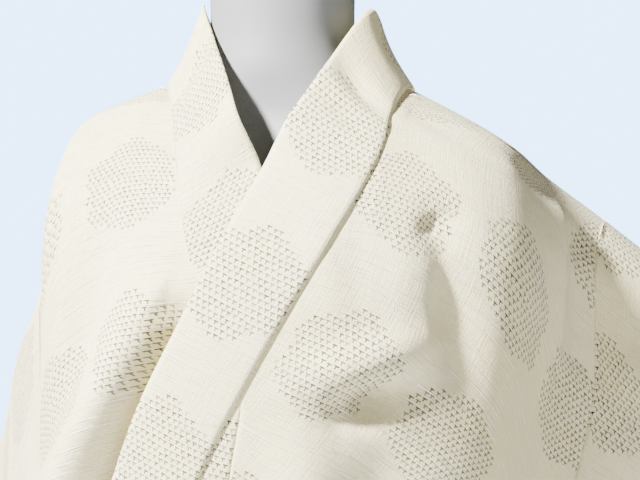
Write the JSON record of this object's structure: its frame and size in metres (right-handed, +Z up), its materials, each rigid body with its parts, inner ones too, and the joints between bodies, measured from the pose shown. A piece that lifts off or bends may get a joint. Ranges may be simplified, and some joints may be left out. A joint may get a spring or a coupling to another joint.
{
  "type": "kimono on a dress form",
  "caption": "Cream silk kimono with scattered hexagons of small dark dashes, worn left over right on a limbless dress form.",
  "frame": {"origin": "centre of the underside of the stand's round base plate", "axes": "+Z up the pole to the neck, the garment's front faces -Y, the wearer's left is +X"},
  "size_m": [0.8237, 0.3997, 1.617],
  "materials": {
    "silk": "dry slubby hand-spun silk, matte with a faint sheen",
    "form_shell": "smooth satin",
    "stand_metal": "satin"
  },
  "bodies": {
    "root": {"body_left": "silk", "body_right": "silk", "overlap_left": "silk", "overlap_right": "silk", "collar": "silk", "sleeve_left": "silk", "sleeve_right": "silk", "dress_form": "form_shell", "stand_pole": "stand_metal", "stand_base": "stand_metal"}
  },
  "joints": []
}
